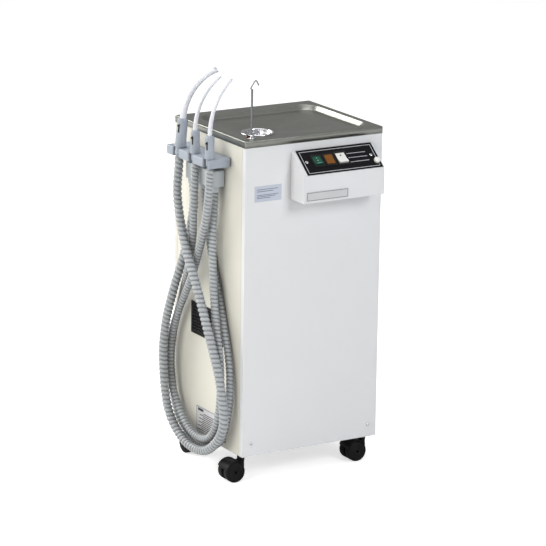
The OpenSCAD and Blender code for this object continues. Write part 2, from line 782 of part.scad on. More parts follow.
module blower_housing() {
    color([0.55, 0.57, 0.60]) placed() translate([blower_at[0], blower_at[1], z_blower]) difference() {
        union() {
            cylinder(h = blower_h, r = blower_r);
            rod_x(0, drop_x - blower_at[0] - main_pipe_r - 2, -blower_at[1], blower_h / 2, main_pipe_r + 4);
            for (a = [45:90:315]) rotate([0, 0, a])
                rod_z(-24 + gap, 1, blower_r - 16, 0, 9);
        }
        translate([0, 0, 4]) cylinder(h = blower_h - 8, r = blower_r - 4);
        cylinder(h = blower_h + cut, r = 7);
        rod_x(40, drop_x, -blower_at[1], blower_h / 2, main_pipe_r + run_fit);
        rod_y(60, 120, exhaust_at[0] - blower_at[0], blower_h / 2, 12 + run_fit);
    }
}

module blower_motor() {
    color([0.30, 0.32, 0.36]) placed()
        translate([blower_at[0], blower_at[1], z_blower + blower_h + gap]) difference() {
            union() {
                cylinder(h = motor_h, r = motor_r);
                cylinder(h = 4, r = motor_r + 12);
                for (a = [0:15:345]) rotate([0, 0, a]) block([motor_r - 1, -1, 8], [motor_r + 5, 1, motor_h - 12]);
            }
            translate([0, 0, -cut]) cylinder(h = motor_h - 8, r = 6 + run_fit);
        }
}

module blower_rotor() {
    z_low = z_blower + 12;
    color([0.75, 0.76, 0.78]) placed() translate([blower_at[0], blower_at[1], z_low]) {
        cylinder(h = 3, r = blower_r - 10);
        rod_z(0, blower_h + motor_h - 26, 0, 0, 6);
        for (a = [0:30:330]) rotate([0, 0, a]) block([18, -1, 2], [blower_r - 14, 1, 26]);
        rod_z(0, 30, 0, 0, 16);
    }
}

module drain_pump() {
    z = z_base + 2 + gap;
    color([0.25, 0.30, 0.42]) placed() translate([pump_at[0], pump_at[1], z]) {
        block([-26, -20, 0], [26, 20, 34]);
        rod_z(34, 82, 0, 0, 18);
        rod_y(0, 70, 0, 17, 9);
        difference() {
            rod_z(0, 94, 0, drain[1] - pump_at[1], 15);
            rod_z(31, 95, 0, drain[1] - pump_at[1], 12 + gap);
        }
    }
}

module control_board() {
    y = y_front + 24;
    color([0.10, 0.38, 0.20]) placed() {
        block([-40, y, z_box - 50], [110, y + 1.6, z_box + 50]);
        for (i = [0:3])
            block([-28 + i * 34, y + 1.5, z_box - 30], [-10 + i * 34, y + 14, z_box + 6]);
        for (x = [-34, 104], z = [z_box - 44, z_box + 44])
            rod_y(-half_d + sheet + gap, y + 0.1, x, z, 3);
    }
}

module exhaust_silencer() {
    r = 34;
    color([0.20, 0.21, 0.23]) placed() translate([exhaust_at[0], 0, exhaust_at[1]]) difference() {
        union() {
            rod_y(-40, 112, 0, 0, r);
            rod_y(111, half_d - 14.2, 0, 0, exhaust_r);
        }
        rod_y(-36, 108, 0, 0, r - 3);
        rod_y(100, half_d, 0, 0, exhaust_r - 3);
        rod_z(-r - 3, -10, 0, riser_y, 12 + run_fit);
    }
}

// From the manifold to the separator tank, from the tank down to the blower, and up to the silencer
module suction_pipes() {
    x_in = tank_at[0] - 35;
    x_out = tank_at[0] + 35;
    r = main_pipe_r;
    color([0.88, 0.88, 0.86]) placed() {
        for (y = port_y) rod_x(-half_w - 2, pipe_x, y, z_pipe, 7);
        rod_y(port_y[2] - 12, port_y[0] + 12, pipe_x, z_pipe, 12);
        rod_x(pipe_x, x_in, 0, z_pipe, r - 2);
        translate([x_in, 0, z_pipe]) sphere(r + 0.1);
        rod_z(z_lid - 4, z_pipe, x_in, 0, r);
        rod_z(z_lid - 4, z_pipe, x_out, 0, r);
        translate([x_out, 0, z_pipe]) sphere(r + 0.1);
        rod_x(x_out, drop_x, 0, z_pipe, r - 2);
        translate([drop_x, 0, z_pipe]) sphere(r + 0.1);
        rod_z(z_blower + blower_h / 2, z_pipe, drop_x, 0, r);
        translate([drop_x, 0, z_blower + blower_h / 2]) sphere(r + 0.1);
        rod_x(blower_at[0] + 78, drop_x, 0, z_blower + blower_h / 2, r);
        rod_y(blower_at[1] + 66, riser_y, exhaust_at[0], z_blower + blower_h / 2, 12);
        translate([exhaust_at[0], riser_y, z_blower + blower_h / 2]) sphere(12.1);
        rod_z(z_blower + blower_h / 2, exhaust_at[1] - 31, exhaust_at[0], riser_y, 12);
    }
}

module mains_inlet() {
    color(black_plastic) placed() translate([inlet_at[0], half_d, inlet_at[1]]) difference() {
        union() {
            block([-30, run_fit, -18], [30, 3, 18]);
            block([-23.6, -22, -13.6], [23.6, 1, 13.6]);
        }
        block([-14, -14, -9], [14, 4, 9]);
    }
}

module outlet_spigots() {
    color([0.35, 0.36, 0.38]) placed() {
        for (p = [[exhaust_at, exhaust_r, 28], [outlet_at, outlet_r, 18]])
            translate([p[0][0], half_d, p[0][1]]) difference() {
                union() {
                    rod_y(-14, spigot_out, 0, 0, p[1]);
                    rod_y(run_fit, 3, 0, 0, p[2]);
                }
                rod_y(-15, spigot_out + cut, 0, 0, p[1] - 2.5);
            }
    }
}

base_tray();
corner_posts();
shelf();
left_side_panel();
right_side_panel();
front_panel();
back_panel();
worktop();
case_screws();
vent_grille();
labels();
drain_flange();
strainer();
drain_pipe();
rod_base();
hook_rod();
control_box();
fascia_plate();
name_plate();
switch_bezels();
power_rocker();
indicator_lens();
mode_rocker();
reset_button();
holder_rail();
manifold_box();
manifold_sockets();
handpiece_1();
handpiece_2();
handpiece_3();
valve_slider_1();
valve_slider_2();
valve_slider_3();
suction_tip_1();
suction_tip_2();
suction_tip_3();
hose_1();
hose_2();
hose_3();
castor_fork_front_left();
castor_fork_front_right();
castor_fork_rear_left();
castor_fork_rear_right();
castor_wheels_front_left();
castor_wheels_front_right();
castor_wheels_rear_left();
castor_wheels_rear_right();
castor_sockets();
separator_tank();
tank_lid();
tank_float();
blower_housing();
blower_motor();
blower_rotor();
drain_pump();
control_board();
exhaust_silencer();
suction_pipes();
mains_inlet();
outlet_spigots();
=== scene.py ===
import json
import math

import bmesh
import bpy
from mathutils import Matrix, Vector


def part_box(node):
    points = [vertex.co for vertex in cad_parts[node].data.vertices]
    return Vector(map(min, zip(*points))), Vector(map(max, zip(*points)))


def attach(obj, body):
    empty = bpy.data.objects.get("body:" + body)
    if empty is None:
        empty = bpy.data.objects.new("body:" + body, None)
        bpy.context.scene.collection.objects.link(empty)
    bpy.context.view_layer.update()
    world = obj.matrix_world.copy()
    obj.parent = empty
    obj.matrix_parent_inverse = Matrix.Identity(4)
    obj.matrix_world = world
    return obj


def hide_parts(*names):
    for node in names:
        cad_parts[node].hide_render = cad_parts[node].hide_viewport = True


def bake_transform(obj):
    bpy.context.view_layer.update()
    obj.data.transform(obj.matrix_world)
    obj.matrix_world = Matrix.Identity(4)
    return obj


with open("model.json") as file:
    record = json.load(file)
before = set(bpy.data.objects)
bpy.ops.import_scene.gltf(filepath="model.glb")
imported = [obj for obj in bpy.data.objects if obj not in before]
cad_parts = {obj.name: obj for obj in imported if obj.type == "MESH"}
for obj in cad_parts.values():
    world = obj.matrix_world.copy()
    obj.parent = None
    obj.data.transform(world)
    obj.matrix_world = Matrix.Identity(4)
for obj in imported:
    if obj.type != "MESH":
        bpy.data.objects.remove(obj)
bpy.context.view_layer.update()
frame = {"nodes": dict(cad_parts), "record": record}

# ---- Where things are: millimetres from the cabinet's centre line, turned into the frame ----

MM = 0.001
TOP_LOW, TOP_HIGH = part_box("worktop")
CENTRE_X = (TOP_LOW.x + TOP_HIGH.x) / 2
CENTRE_Y = (TOP_LOW.y + TOP_HIGH.y) / 2
HALF_W = 185.0
HALF_D = 165.0
Z_TOP = TOP_HIGH.z / MM
SLOPE = math.atan(47 / 59)
BOX_TOP = 785.0
FASCIA_X = -53.0
FASCIA_T = 1.55
POWER_AT = (43, 36)
MODE_AT = (108, 36)
ROCKER_REST = math.radians(8)
ROCKER_DEPTH = 3
ROD_AT = (-154, -138)
RAIL_TOP = 770.0
HAND_X = -234.0
HAND_Y = (52.0, -18.0, -86.0)
HAND_TOP = (90.0, 76.0, 76.0)
# From a handpiece's top down to where its tip starts to bend
HAND_CAP = 22
GRIP_R = (12.5, 10.5, 10.5)
LEAN = (5.5, 0.0, 0.0)


def at(x, y, z):
    """A point given from the cabinet's centre line, in millimetres."""
    return Vector((CENTRE_X + x * MM, CENTRE_Y + y * MM, z * MM))


def on_fascia(x, y, z):
    """A point on the sloping fascia: x to the right, y down the slope, z outwards."""
    c, s = math.cos(SLOPE), math.sin(SLOPE)
    return at(FASCIA_X + x, -HALF_D - (y + 1) * c - z * s, BOX_TOP - (y + 1) * s + z * c)


def on_rocker(place, x, y, z):
    """A point on a rocker, which rests turned about an axis below the fascia."""
    c, s = math.cos(ROCKER_REST), math.sin(ROCKER_REST)
    return on_fascia(place[0] + x, place[1] + y * c - z * s, -ROCKER_DEPTH + y * s + z * c)


def on_hand(i, x, y, z):
    """A point on a handpiece: z along it, up from its seat on the rail."""
    c, s = math.cos(math.radians(LEAN[i])), math.sin(math.radians(LEAN[i]))
    return at(HAND_X + x * c + z * s, HAND_Y[i] + y, RAIL_TOP - x * s + z * c)


# ---- Materials ----

def linear(r, g, b):
    """A linear colour from display values of 0 to 255."""
    return tuple((v / 255 / 12.92) if v / 255 < 0.04045 else ((v / 255 + 0.055) / 1.055) ** 2.4
                 for v in (r, g, b))


def surface(name, rgb, rough=0.5, metal=0.0, spread=0.05, patch=9.0, grain=500.0, bump=0.1,
            depth=0.0003, stretch=(1, 1, 1), coat=0.0, corner_shade=0.0, through=0.0, rough_spread=0.12,
            groove=0.0, shine=0.5):
    """A node material: patchy colour, fine grain in its bump and roughness, and painted shade in corners and
    grooves.
    """
    colour = linear(*rgb)
    m = bpy.data.materials.new(name)
    m.use_nodes = True
    nodes, link = m.node_tree.nodes, m.node_tree.links.new
    shader = nodes["Principled BSDF"]
    shader.inputs["Metallic"].default_value = metal
    shader.inputs["Specular IOR Level"].default_value = shine
    shader.inputs["Coat Weight"].default_value = coat
    shader.inputs["Coat Roughness"].default_value = 0.12
    shader.inputs["Subsurface Weight"].default_value = through
    shader.inputs["Subsurface Radius"].default_value = (0.004, 0.004, 0.004)
    place = nodes.new("ShaderNodeTexCoord")
    mapping = nodes.new("ShaderNodeMapping")
    mapping.inputs["Scale"].default_value = stretch
    link(place.outputs["Object"], mapping.inputs["Vector"])
    broad = nodes.new("ShaderNodeTexNoise")
    broad.inputs["Scale"].default_value = patch
    broad.inputs["Detail"].default_value = 5
    link(place.outputs["Object"], broad.inputs["Vector"])
    fine = nodes.new("ShaderNodeTexNoise")
    fine.inputs["Scale"].default_value = grain
    fine.inputs["Detail"].default_value = 4
    link(mapping.outputs["Vector"], fine.inputs["Vector"])

    def blend(kind, factor, a, b):
        mix = nodes.new("ShaderNodeMix")
        mix.data_type = "RGBA"
        mix.blend_type = kind
        for socket, value in ((0, factor), (6, a), (7, b)):
            if isinstance(value, (int, float)):
                mix.inputs[socket].default_value = value
            elif isinstance(value, tuple):
                mix.inputs[socket].default_value = (*value, 1)
            else:
                link(value, mix.inputs[socket])
        return mix.outputs[2]

    low = tuple(v * (1 - spread) for v in colour)
    high = tuple(min(1.0, v * (1 + spread)) for v in colour)
    tint = blend("MIX", broad.outputs["Fac"], low, high)
    # Painted shade: an ambient occlusion node darkens corners, creases and the gaps between parts.
    if corner_shade:
        corner = nodes.new("ShaderNodeAmbientOcclusion")
        corner.samples = 6
        corner.inputs["Distance"].default_value = 0.02
        dark = blend("MIX", corner.outputs["AO"], (0.25, 0.24, 0.22), (1.0, 1.0, 1.0))
        tint = blend("MULTIPLY", corner_shade, tint, dark)
    # Painted shade: the floors of a hose's grooves are darkened by the groove attribute.
    if groove:
        depth_of = nodes.new("ShaderNodeAttribute")
        depth_of.attribute_name = "groove"
        groove_shade = blend("MIX", depth_of.outputs["Fac"], (1.0, 1.0, 1.0), (1 - groove,) * 3)
        tint = blend("MULTIPLY", 1.0, tint, groove_shade)
    link(tint, shader.inputs["Base Color"])
    spread_rough = nodes.new("ShaderNodeMapRange")
    spread_rough.inputs["To Min"].default_value = max(0.02, rough * (1 - rough_spread * 2))
    spread_rough.inputs["To Max"].default_value = min(1.0, rough * (1 + rough_spread * 2))
    link(fine.outputs["Fac"], spread_rough.inputs["Value"])
    link(spread_rough.outputs["Result"], shader.inputs["Roughness"])
    relief = nodes.new("ShaderNodeBump")
    relief.inputs["Strength"].default_value = bump
    relief.inputs["Distance"].default_value = depth
    link(fine.outputs["Fac"], relief.inputs["Height"])
    link(relief.outputs["Normal"], shader.inputs["Normal"])
    return m


LOOKS = {
    "panel_white": dict(rgb=(222, 224, 227), rough=0.42, spread=0.02, grain=420, bump=0.12, coat=0.2,
                        corner_shade=0.6),
    # The same paint as panel_white, made warmer and a little darker: painted warm light from the left on the
    # parts that use it.
    "panel_cream": dict(rgb=(216, 215, 206), rough=0.45, spread=0.03, grain=420, bump=0.12, coat=0.15,
                        corner_shade=0.6),
    "stainless": dict(rgb=(150, 152, 146), rough=0.33, metal=0.92, spread=0.10, patch=14, grain=60,
                      bump=0.12, depth=0.0002, stretch=(1, 40, 40), rough_spread=0.3, corner_shade=0.35),
    "zinc_sheet": dict(rgb=(176, 178, 180), rough=0.45, metal=0.85, spread=0.15, patch=40, grain=200),
    "chrome_parts": dict(rgb=(225, 226, 230), rough=0.12, metal=1.0, spread=0.04, grain=900, bump=0.03,
                         rough_spread=0.5),
    "steel_rod": dict(rgb=(136, 140, 142), rough=0.32, metal=0.9, spread=0.15, patch=60, grain=900,
                      bump=0.1),
    "holder_grey": dict(rgb=(156, 164, 176), rough=0.5, spread=0.05, patch=30, grain=1400, bump=0.2,
                        corner_shade=0.6, shine=0.4),
    # The holder rail's grey made lighter: painted light that makes up for the rail's shadow on the box.
    "manifold_grey": dict(rgb=(190, 197, 202), rough=0.5, spread=0.05, patch=30, grain=1400, bump=0.2,
                          corner_shade=0.5),
    "black_plastic": dict(rgb=(22, 22, 24), rough=0.5, spread=0.2, patch=40, grain=1200, bump=0.2,
                          shine=0.3),
    "fascia_black": dict(rgb=(12, 12, 16), rough=0.45, spread=0.2, patch=30, grain=900, bump=0.06,
                         shine=0.15),
    "castor_black": dict(rgb=(10, 10, 12), rough=0.5, spread=0.25, patch=60, grain=1100, bump=0.25,
                         shine=0.2),
    "hose_grey": dict(rgb=(169, 174, 179), rough=0.36, spread=0.07, patch=22, grain=900, bump=0.15,
                      corner_shade=0.9, coat=0.15, groove=0.5),
    "tip_white": dict(rgb=(222, 225, 233), rough=0.35, spread=0.02, patch=40, grain=700, bump=0.05,
                      coat=0.1, through=0.2),
    "rocker_green": dict(rgb=(8, 80, 60), rough=0.3, spread=0.12, patch=80, grain=900, bump=0.05,
                         coat=0.1, shine=0.3),
    "lens_amber": dict(rgb=(122, 74, 20), rough=0.3, spread=0.15, patch=120, grain=500, bump=0.3,
                       coat=0.1, shine=0.3),
    "switch_white": dict(rgb=(232, 232, 230), rough=0.35, spread=0.03, patch=60, grain=900, bump=0.08,
                         coat=0.3, corner_shade=0.4),
    "label_film": dict(rgb=(188, 195, 209), rough=0.4, spread=0.04, patch=50, grain=900, bump=0.05),
    "plate_metal": dict(rgb=(208, 209, 212), rough=0.38, metal=0.3, spread=0.06, patch=30, grain=80,
                        bump=0.1, depth=0.0001, stretch=(1, 50, 50), rough_spread=0.3),
    "tank_plastic": dict(rgb=(215, 222, 226), rough=0.3, spread=0.04, patch=14, grain=400, bump=0.1,
                         coat=0.3, through=0.3),
    "grey_plastic": dict(rgb=(112, 116, 122), rough=0.45, spread=0.08, patch=40, grain=1200, bump=0.2,
                         corner_shade=0.5),
    "float_orange": dict(rgb=(214, 92, 48), rough=0.4, spread=0.1, patch=40, grain=900, bump=0.15),
    "cast_aluminium": dict(rgb=(170, 172, 176), rough=0.5, metal=0.8, spread=0.12, patch=40, grain=500,
                           bump=0.35),
    "motor_paint": dict(rgb=(70, 76, 86), rough=0.4, spread=0.1, patch=20, grain=500, bump=0.15,
                        coat=0.2),
    "pump_blue": dict(rgb=(62, 76, 106), rough=0.42, spread=0.1, patch=30, grain=900, bump=0.2),
    "board_green": dict(rgb=(28, 96, 52), rough=0.35, spread=0.12, patch=90, grain=300, bump=0.2,
                        coat=0.3),
    "pipe_white": dict(rgb=(224, 224, 218), rough=0.4, spread=0.04, patch=20, grain=700, bump=0.1,
                       corner_shade=0.5),
}
MATERIALS = {name: surface(name, **look) for name, look in LOOKS.items()}
INK = surface("ink", (92, 102, 122), 0.5, spread=0.15, patch=200, grain=900, bump=0.05)
PALE_INK = surface("pale_ink", (196, 198, 203), 0.4, 0.3, spread=0.08, patch=90, grain=900, bump=0.05)
DARK_INK = surface("dark_ink", (40, 42, 46), 0.45, spread=0.15, patch=90, grain=900, bump=0.05)
RED_PLASTIC = surface("red_plastic", (180, 36, 30), 0.35, spread=0.12, patch=120, grain=900, bump=0.1,
                      coat=0.3)
TYRE = surface("tyre_rubber", (11, 11, 13), 0.58, spread=0.2, patch=60, grain=1500, bump=0.35, shine=0.2)

slot_of = {part["node"]: part["material_slot"] for part in frame["record"]["subparts"]}
for node, piece in frame["nodes"].items():
    piece.data.materials.clear()
    piece.data.materials.append(MATERIALS[slot_of[node]])

# The radius in millimetres that each piece's edges have, where it isn't the usual one
USUAL_EDGE = 0.25
EDGE_RADIUS = {"front_panel": 1.0, "back_panel": 1.0, "left_side_panel": 0.5, "right_side_panel": 0.5,
               "control_box": 1.6, "fascia_plate": 0.4, "name_plate": 0.3, "holder_rail": 3.2,
               "manifold_box": 2.2, "switch_bezels": 0.5, "power_rocker": 0.7, "mode_rocker": 0.7,
               "indicator_lens": 0.8, "reset_button": 0.6, "mains_inlet": 0.6, "vent_grille": 0.3,
               "castor_fork_front_left": 1.0, "castor_fork_front_right": 1.0,
               "castor_fork_rear_left": 1.0, "castor_fork_rear_right": 1.0, "outlet_spigots": 0.5,
               "manifold_sockets": 0.5, "handpiece_1": 0.5, "handpiece_2": 0.5, "handpiece_3": 0.5}
UNCLAMPED = {"holder_rail"}
SAME_POINT = 2e-6
FLAT_ANGLE = math.radians(0.4)
EDGE_ANGLE = math.radians(35)


def soften(piece, radius, clamp=True):
    """Rounds a piece's sharp edges with a bevel and keeps its flat faces flat."""
    weld = piece.modifiers.new("Weld", "WELD")
    weld.merge_threshold = SAME_POINT
    flats = piece.modifiers.new("Flats", "DECIMATE")
    flats.decimate_type = "DISSOLVE"
    flats.angle_limit = FLAT_ANGLE
    bevel = piece.modifiers.new("Bevel", "BEVEL")
    bevel.width = radius * MM
    bevel.segments = 3
    bevel.limit_method = "ANGLE"
    bevel.angle_limit = EDGE_ANGLE
    bevel.use_clamp_overlap = clamp
    weighted = piece.modifiers.new("Weighted", "WEIGHTED_NORMAL")
    weighted.weight = 80


for node, piece in frame["nodes"].items():
    if "custom_normal" in piece.data.attributes:
        piece.data.attributes.remove(piece.data.attributes["custom_normal"])
    piece.data.shade_smooth()
    soften(piece, EDGE_RADIUS.get(node, USUAL_EDGE), clamp=node not in UNCLAMPED)


# ---- Mesh building ----

class Shape:
    """Gathers vertices and faces for one piece."""

    def __init__(self):
        self.points = []
        self.faces = []

    def loft(self, rings, closed=False, caps=True):
        """Joins rings of equal length; a closed loft joins its last ring to its first."""
        start, n = len(self.points), len(rings[0])
        for ring in rings:
            self.points.extend(ring)
        last = len(rings) if closed else len(rings) - 1
        for i in range(last):
            a, b = start + i * n, start + (i + 1) % len(rings) * n
            for k in range(n):
                k2 = (k + 1) % n
                self.faces.append((a + k, a + k2, b + k2, b + k))
        if caps and not closed:
            self.faces.append(tuple(start + k for k in reversed(range(n))))
            self.faces.append(tuple(start + (len(rings) - 1) * n + k for k in range(n)))
        return self

    def lathe(self, profile, place, sides=64):
        """Turns a profile of (radius, height) round an axis; place(x, y, z) gives the point."""
        rings = []
        for k in range(sides):
            c, s = math.cos(math.tau * k / sides), math.sin(math.tau * k / sides)
            rings.append([place(r * c, r * s, z) for r, z in profile])
        return self.loft(rings, closed=True)

    def block(self, place, low, high):
        """A box between two corners, each corner put in place by the function given."""
        start = len(self.points)
        for x in (low[0], high[0]):
            for y in (low[1], high[1]):
                for z in (low[2], high[2]):
                    self.points.append(place(x, y, z))
        for face in ((0, 1, 3, 2), (4, 6, 7, 5), (0, 4, 5, 1), (2, 3, 7, 6), (0, 2, 6, 4), (1, 5, 7, 3)):
            self.faces.append(tuple(start + k for k in face))
        return self

    def piece(self, name, body, material, slot, replaces=(), smooth=True):
        """Makes the piece: on a body or not, with its material, and instead of the CAD nodes named; the slot
        named is not used.
        """
        mesh = bpy.data.meshes.new(name)
        mesh.from_pydata([tuple(p) for p in self.points], [], self.faces)
        mesh.validate()
        mesh.materials.append(material)
        obj = bpy.data.objects.new(name, mesh)
        bpy.context.scene.collection.objects.link(obj)
        with_normals(mesh)
        if smooth:
            mesh.shade_smooth()
        if body:
            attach(obj, body)
        if replaces:
            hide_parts(*replaces)
        return obj


WELD_REACH = 1e-7


def with_normals(mesh):
    """Joins points that coincide and turns every face outwards."""
    work = bmesh.new()
    work.from_mesh(mesh)
    bmesh.ops.remove_doubles(work, verts=work.verts, dist=WELD_REACH)
    bmesh.ops.recalc_face_normals(work, faces=work.faces)
    work.to_mesh(mesh)
    work.free()


def round_rect(x0, x1, y0, y1, r, z, steps=10):
    """A ring round a rectangle with rounded corners."""
    corners = ((x1 - r, y1 - r), (x0 + r, y1 - r), (x0 + r, y0 + r), (x1 - r, y0 + r))
    ring = []
    for quarter, (cx, cy) in enumerate(corners):
        for k in range(steps + 1):
            a = math.radians(90 * (quarter + k / steps))
            ring.append(at(cx + r * math.cos(a), cy + r * math.sin(a), z))
    return ring


def round_hole(x, y, r, z, steps=10):
    """A ring round a circle, with as many points as round_rect gives."""
    ring = []
    for quarter in range(4):
        for k in range(steps + 1):
            a = math.radians(90 * (quarter + (k + 0.5) / (steps + 1)))
            ring.append(at(x + r * math.cos(a), y + r * math.sin(a), z))
    return ring


CURVE_STEPS = 40


def smooth_line(points, count):
    """Evenly spaced points on a smooth curve through the given ones, and the curve's length."""
    fine = []
    last = len(points) - 1
    for i in range(last):
        b, c = points[i], points[i + 1]
        a = points[i - 1] if i else 2 * b - c
        d = points[i + 2] if i + 2 <= last else 2 * c - b
        for k in range(CURVE_STEPS):
            t = k / CURVE_STEPS
            fine.append(0.5 * (2 * b + (c - a) * t + (2 * a - 5 * b + 4 * c - d) * t ** 2
                               + (3 * b - a - 3 * c + d) * t ** 3))
    fine.append(points[last])
    reach = [0.0]
    for p, q in zip(fine, fine[1:]):
        reach.append(reach[-1] + (q - p).length)
    line, j = [], 0
    for k in range(count + 1):
        want = reach[-1] * k / count
        while j < len(fine) - 2 and reach[j + 1] < want:
            j += 1
        t = (want - reach[j]) / (reach[j + 1] - reach[j])
        line.append(fine[j].lerp(fine[j + 1], min(1.0, t)))
    return line, reach[-1]


def circle(r, sides):
    """Points (x, y) round a circle."""
    turns = [math.tau * k / sides for k in range(sides)]
    return [(r * math.cos(a), r * math.sin(a)) for a in turns]


def swept_rings(line, radius, sides, side=Vector((0, 1, 0))):
    """Rings square to a line. radius(i, angle) gives the radius there."""
    rings = []
    for i, p in enumerate(line):
        run = (line[min(i + 1, len(line) - 1)] - line[max(i - 1, 0)]).normalized()
        side = (side - run * side.dot(run)).normalized()
        other = run.cross(side)
        ring = []
        for k in range(sides):
            a = math.tau * k / sides
            ring.append(p + radius(i, a) * (math.cos(a) * side + math.sin(a) * other))
        rings.append(ring)
    return rings


# ---- Worktop: a pressed stainless tray ----

TRAY = (-150, 170, -135, 132)
TRAY_CORNER = 40
DRAIN = (-84, -46)
Z_TRAY = Z_TOP - 12
OVERHANG = 1
# Over the rim, from its lower edge: distance in, distance below the top, radius of the corners
RIM = ((0, 15.9, 3), (0, 2.2, 3), (0.3, 1.1, 3), (1.0, 0.3, 2.5), (2.2, 0, 2.5))
# Over the tray's lip: distance in, distance below the top
LIP = ((-4, 0), (-2, 0), (-0.8, 0.3), (0.2, 1.2), (1.0, 2.6))
# Down the tray's wall: distance in, distance above the floor
WALL = ((7.2, 2.6), (8.4, 1.1), (10.4, 0.25), (13.5, 0))
# Into the drain: radius, distance below the floor
SUMP = ((39.0, 0), (36.4, 1.6))


def rim_ring(inset, z, r):
    """A ring round the worktop's edge."""
    x, y = HALF_W + OVERHANG, HALF_D + OVERHANG
    return round_rect(-x + inset, x - inset, -y + inset, y - inset, r, z)


def tray_ring(inset, z):
    """A ring round the tray, whose corners get tighter towards its floor."""
    x0, x1, y0, y1 = TRAY
    return round_rect(x0 + inset, x1 - inset, y0 + inset, y1 - inset, TRAY_CORNER - inset * 0.9, z)


top_rings = [rim_ring(inset, Z_TOP - drop, r) for inset, drop, r in RIM]
top_rings += [tray_ring(inset, Z_TOP - drop) for inset, drop in LIP]
top_rings += [tray_ring(inset, Z_TRAY + rise) for inset, rise in WALL]
top_rings += [round_hole(*DRAIN, r, Z_TRAY - drop) for r, drop in SUMP]
top = Shape().loft(top_rings, caps=False).piece("worktop_pressing", "cabinet", MATERIALS["stainless"],
                                                "stainless", ["worktop"])
shell = top.modifiers.new("Sheet", "SOLIDIFY")
shell.thickness = 1.2 * MM
shell.offset = -1

# The drain's ring and cup: (radius, height above the tray's floor), over the ring, down the inside
# of the cup and back up its outside
DRAIN_SECTION = [(40, 0.1), (39.8, 1.3), (39.0, 2.3), (37.6, 2.9), (36.0, 2.9), (34.8, 2.4), (34.2, 1.2),
                 (33.9, -0.5), (32.2, -1.5), (32.0, -5.9), (29.0, -6.0), (28.6, -26), (26, -28),
                 (12, -28.2), (12, -37.8), (14, -37.8), (14, -30.2), (30, -29.8), (33.8, -26),
                 (34.0, -3.0), (36.2, -2.9), (36.4, -1.9), (38.4, 0.06)]
Shape().lathe(DRAIN_SECTION, lambda x, y, z: at(DRAIN[0] + x, DRAIN[1] + y, Z_TRAY + z)).piece(
    "drain_ring", "cabinet", MATERIALS["chrome_parts"], "chrome_parts", ["drain_flange"])

# A small clamping screw on the hook rod's base: a knurled knob with a red cap. Each has rings of
# (radius, distance out of the base)
ROD_BASE_R = 6.0
KNOB = ((1.4, -0.5), (1.4, 2.0), (3.3, 2.1), (3.5, 2.6), (3.5, 5.6), (3.2, 6.1), (1.8, 6.2))
CAP = ((1.9, 6.0), (1.9, 6.6), (1.5, 7.0), (0.8, 7.2))
KNURL = 0.18
WIDE_KNOB = 3.4


def on_screw(x, y, z):
    """A point on the clamping screw, which points out to the left."""
    return at(ROD_AT[0] - ROD_BASE_R - z, ROD_AT[1] + x, Z_TOP + 5 + y)


def knurled(r, sides=32):
    """A circle, with every second point pushed out where the knob is widest."""
    plain = circle(r, sides)
    raised = circle(r + KNURL, sides) if r > WIDE_KNOB else plain
    return [raised[k] if k % 2 else plain[k] for k in range(sides)]


Shape().loft([[on_screw(x, y, z) for x, y in knurled(r)] for r, z in KNOB]).piece(
    "rod_clamp_knob", "cabinet", MATERIALS["black_plastic"], "black_plastic")
Shape().loft([[on_screw(x, y, z) for x, y in circle(r, 24)] for r, z in CAP]).piece(
    "rod_clamp_cap", "cabinet", RED_PLASTIC, "black_plastic")

# ---- Fascia markings and switches ----

PRINT = 0.12
BORDER = (5.2, 198.4, 5.5, 69.5)
BORDER_WIDE = 1.6
RULES_Y = (24.9, 37.3, 49.8)
RULES_X = (126, 177)


def frame_lines(shape, place, box, wide, z0, z1):
    """Four strips that make a rectangular line."""
    x0, x1, y0, y1 = box
    shape.block(place, (x0, y0, z0), (x1, y0 + wide, z1))
    shape.block(place, (x0, y1 - wide, z0), (x1, y1, z1))
    shape.block(place, (x0, y0 + wide, z0), (x0 + wide, y1 - wide, z1))
    shape.block(place, (x1 - wide, y0 + wide, z0), (x1, y1 - wide, z1))


def dot(shape, place, r, z0, z1):
    """A flat round mark between two heights."""
    shape.lathe([(0.01, z0), (r, z0), (r, z1), (0.01, z1)], place, 24)


marks = Shape()
frame_lines(marks, on_fascia, BORDER, BORDER_WIDE, FASCIA_T, FASCIA_T + PRINT)
for y in RULES_Y:
    marks.block(on_fascia, (RULES_X[0], y - 0.8, FASCIA_T), (RULES_X[1], y + 0.8, FASCIA_T + PRINT))
marks.piece("fascia_lines", "cabinet", PALE_INK, "plate_metal", smooth=False)

rocker_marks = Shape()
for y in (-7.5, 0.5):
    dot(rocker_marks, lambda u, v, z, y=y: on_rocker(POWER_AT, u, y + v, z), 1.3, 6.6, 7.05)
rocker_marks.block(lambda x, y, z: on_rocker(POWER_AT, x, y, z), (-5.0, 8.6, 6.4), (5.0, 9.6, 7.15))
rocker_marks.piece("power_rocker_marks", "power_switch", PALE_INK, "switch_white", smooth=False)
mode_mark = Shape()
dot(mode_mark, lambda u, v, z: on_rocker(MODE_AT, u, -7 + v, z), 2.0, 6.0, 7.0)
mode_mark.piece("mode_rocker_mark", "mode_switch", DARK_INK, "black_plastic", smooth=False)

# ---- Plates and labels ----

NAME_PLATE_OUT = 59.8
LABEL_OUT = 0.35
RATING_OUT = 0.45
# The front label's ruled lines: height, left end, right end
LABEL_RULES = ((703, -154, -98), (698.5, -154, -110), (690, -154, -96), (686.5, -154, -104),
               (683, -154, -118))
RATING_RULES = 10
RATING_STEP = 4.6
STUDS = ((-87, 87), (-85.5, 80))
# A stud's rings: radius, distance out
STUD_SECTION = ((2.2, -0.3), (2.2, 0.5), (1.7, 1.2), (0.8, 1.5))


def on_name_plate(x, y, z):
    """A point on the name plate: x across, y up, z outwards."""
    return at(x, -HALF_D - NAME_PLATE_OUT - z, y)


